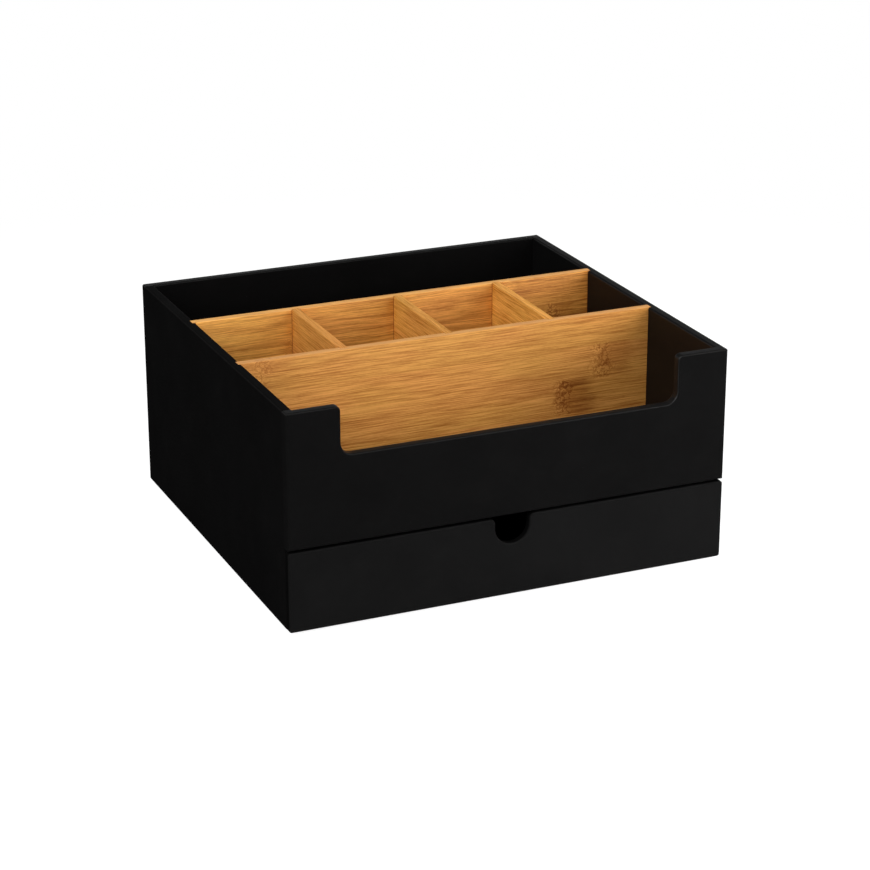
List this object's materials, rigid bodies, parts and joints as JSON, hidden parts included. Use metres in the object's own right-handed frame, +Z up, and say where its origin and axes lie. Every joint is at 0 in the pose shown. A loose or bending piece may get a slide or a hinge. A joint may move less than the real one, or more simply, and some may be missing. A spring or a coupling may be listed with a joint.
{
  "type": "makeup organizer with drawer",
  "caption": "Open-topped black desk box with a lift-out bamboo divider grid, a low cut in its front wall and a full-width drawer with a thumb notch below.",
  "frame": {"origin": "on the table under the middle of the box", "axes": "+X to the right across the front, -Y out of the front with the drawer, +Z up"},
  "size_m": [0.27, 0.252, 0.1305],
  "materials": {
    "black_paint": "satin black sprayed paint over smooth fibre board",
    "bamboo": "clear-sealed caramel bamboo strip board, fine grain",
    "foot_foam": "matt closed-cell foam",
    "pin_steel": "plain drawn wire"
  },
  "bodies": {
    "case": {"left_side_panel": "black_paint", "right_side_panel": "black_paint", "front_panel": "black_paint", "back_panel": "black_paint", "compartment_floor": "black_paint", "bottom_board": "black_paint", "case_pins": "pin_steel", "bottom_pins": "pin_steel", "front_left_foot": "foot_foam", "front_right_foot": "foot_foam", "rear_left_foot": "foot_foam", "rear_right_foot": "foot_foam"},
    "divider_grid": {"front_divider": "bamboo", "rear_divider": "bamboo", "cross_divider_left": "bamboo", "cross_divider_middle": "bamboo", "cross_divider_right": "bamboo"},
    "drawer": {"drawer_front": "black_paint", "drawer_left_side": "black_paint", "drawer_right_side": "black_paint", "drawer_back": "black_paint", "drawer_bottom": "black_paint", "drawer_pins": "pin_steel"}
  },
  "joints": [
    {"name": "drawer_slide", "type": "slide", "parent": "case", "child": "drawer", "axis": [0, -1, 0], "range_m": [0, 0.246]},
    {"name": "divider_grid_lift", "type": "slide", "parent": "case", "child": "divider_grid", "axis": [0, 0, 1], "range_m": [0, 0.08]}
  ]
}
